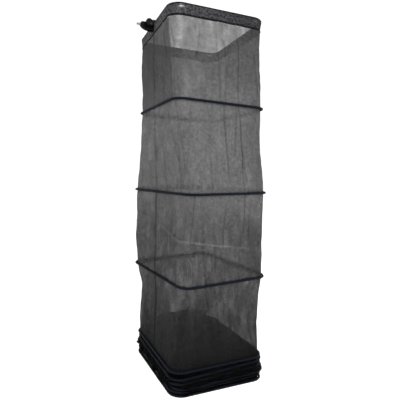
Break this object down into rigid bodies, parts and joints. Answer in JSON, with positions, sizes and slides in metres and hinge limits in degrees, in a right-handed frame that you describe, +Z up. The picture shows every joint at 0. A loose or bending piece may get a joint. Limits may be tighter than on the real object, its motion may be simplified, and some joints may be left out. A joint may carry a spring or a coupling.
{
  "type": "keepnet",
  "caption": "Rectangular mesh keepnet hung by its top frame, with spreader rings that slide together and an angle adapter with a threaded stud.",
  "frame": {"origin": "middle of the exposed part of the adapter's threaded stud, on its axis", "axes": "+Z up, the net hangs along -Z; -X is the way the stud points, out of the middle of one long side of the top frame; +Y runs along that side"},
  "size_m": [0.5156, 0.5577, 1.5161],
  "materials": {
    "frame_steel": "plated, satin",
    "ring_tube": "satin",
    "joiner": "satin",
    "net": "fine open mesh",
    "hem_net": "fine open mesh, doubled",
    "tape": "woven tape",
    "adapter_plastic": "moulded",
    "steel": "machined",
    "black_steel": "blackened"
  },
  "bodies": {
    "frame": {"top_frame": "frame_steel", "hem": "hem_net", "hem_tape": "tape", "mesh_bay_1": "net", "adapter_bracket": "adapter_plastic", "adapter_cap": "adapter_plastic", "cap_screw_a": "steel", "cap_screw_b": "steel", "pivot_pin": "black_steel", "pivot_nut": "black_steel"},
    "adapter_arm": {"swivel_arm": "adapter_plastic", "stud": "steel", "stud_collar": "steel"},
    "lever": {"lock_lever": "adapter_plastic"},
    "spreader_1": {"ring_1": "ring_tube", "ring_1_joiner": "joiner", "mesh_bay_2": "net"},
    "spreader_2": {"ring_2": "ring_tube", "ring_2_joiner": "joiner", "mesh_bay_3": "net"},
    "spreader_3": {"ring_3": "ring_tube", "ring_3_joiner": "joiner", "mesh_bay_4": "net"},
    "spreader_4": {"ring_4": "ring_tube", "ring_4_joiner": "joiner", "mesh_bay_5": "net"},
    "spreader_5": {"ring_5": "ring_tube", "ring_5_joiner": "joiner", "mesh_bay_6": "net"},
    "spreader_6": {"ring_6": "ring_tube", "ring_6_joiner": "joiner", "mesh_bay_7": "net"},
    "spreader_7": {"ring_7": "ring_tube", "ring_7_joiner": "joiner", "mesh_bay_8": "net"},
    "spreader_8": {"ring_8": "ring_tube", "ring_8_joiner": "joiner", "mesh_bay_9": "net"},
    "base": {"base_ring": "ring_tube", "base_ring_joiner": "joiner", "base_mesh": "net"}
  },
  "joints": [
    {"name": "arm_tilt", "type": "hinge", "parent": "frame", "child": "adapter_arm", "pos_m": [0.0491, 0, -0.0036], "axis": [0, 1, 0], "range_deg": [-50, 50]},
    {"name": "lever_turn", "type": "hinge", "parent": "frame", "child": "lever", "pos_m": [0.0491, 0, -0.0036], "axis": [0, 1, 0], "range_deg": [-100, 0]},
    {"name": "ring_1_slide", "type": "slide", "parent": "frame", "child": "spreader_1", "axis": [0, 0, 1], "range_m": [0, 0.289], "deforming": ["mesh_bay_1"]},
    {"name": "ring_2_slide", "type": "slide", "parent": "spreader_1", "child": "spreader_2", "axis": [0, 0, 1], "range_m": [0, 0.325], "deforming": ["mesh_bay_2"]},
    {"name": "ring_3_slide", "type": "slide", "parent": "spreader_2", "child": "spreader_3", "axis": [0, 0, 1], "range_m": [0, 0.316], "deforming": ["mesh_bay_3"]},
    {"name": "ring_4_slide", "type": "slide", "parent": "spreader_3", "child": "spreader_4", "axis": [0, 0, 1], "range_m": [0, 0.3045], "deforming": ["mesh_bay_4"]},
    {"name": "ring_5_slide", "type": "slide", "parent": "spreader_4", "child": "spreader_5", "axis": [0, 0, 1], "range_m": [-0.3245, 0], "deforming": ["mesh_bay_5"]},
    {"name": "ring_6_slide", "type": "slide", "parent": "spreader_5", "child": "spreader_6", "axis": [0, 0, 1], "range_m": [-0.335, 0], "deforming": ["mesh_bay_6"]},
    {"name": "ring_7_slide", "type": "slide", "parent": "spreader_6", "child": "spreader_7", "axis": [0, 0, 1], "range_m": [-0.333, 0], "deforming": ["mesh_bay_7"]},
    {"name": "ring_8_slide", "type": "slide", "parent": "spreader_7", "child": "spreader_8", "axis": [0, 0, 1], "range_m": [-0.3335, 0], "deforming": ["mesh_bay_8"]},
    {"name": "base_slide", "type": "slide", "parent": "spreader_8", "child": "base", "axis": [0, 0, 1], "range_m": [-0.3265, 0], "deforming": ["mesh_bay_9"]}
  ]
}
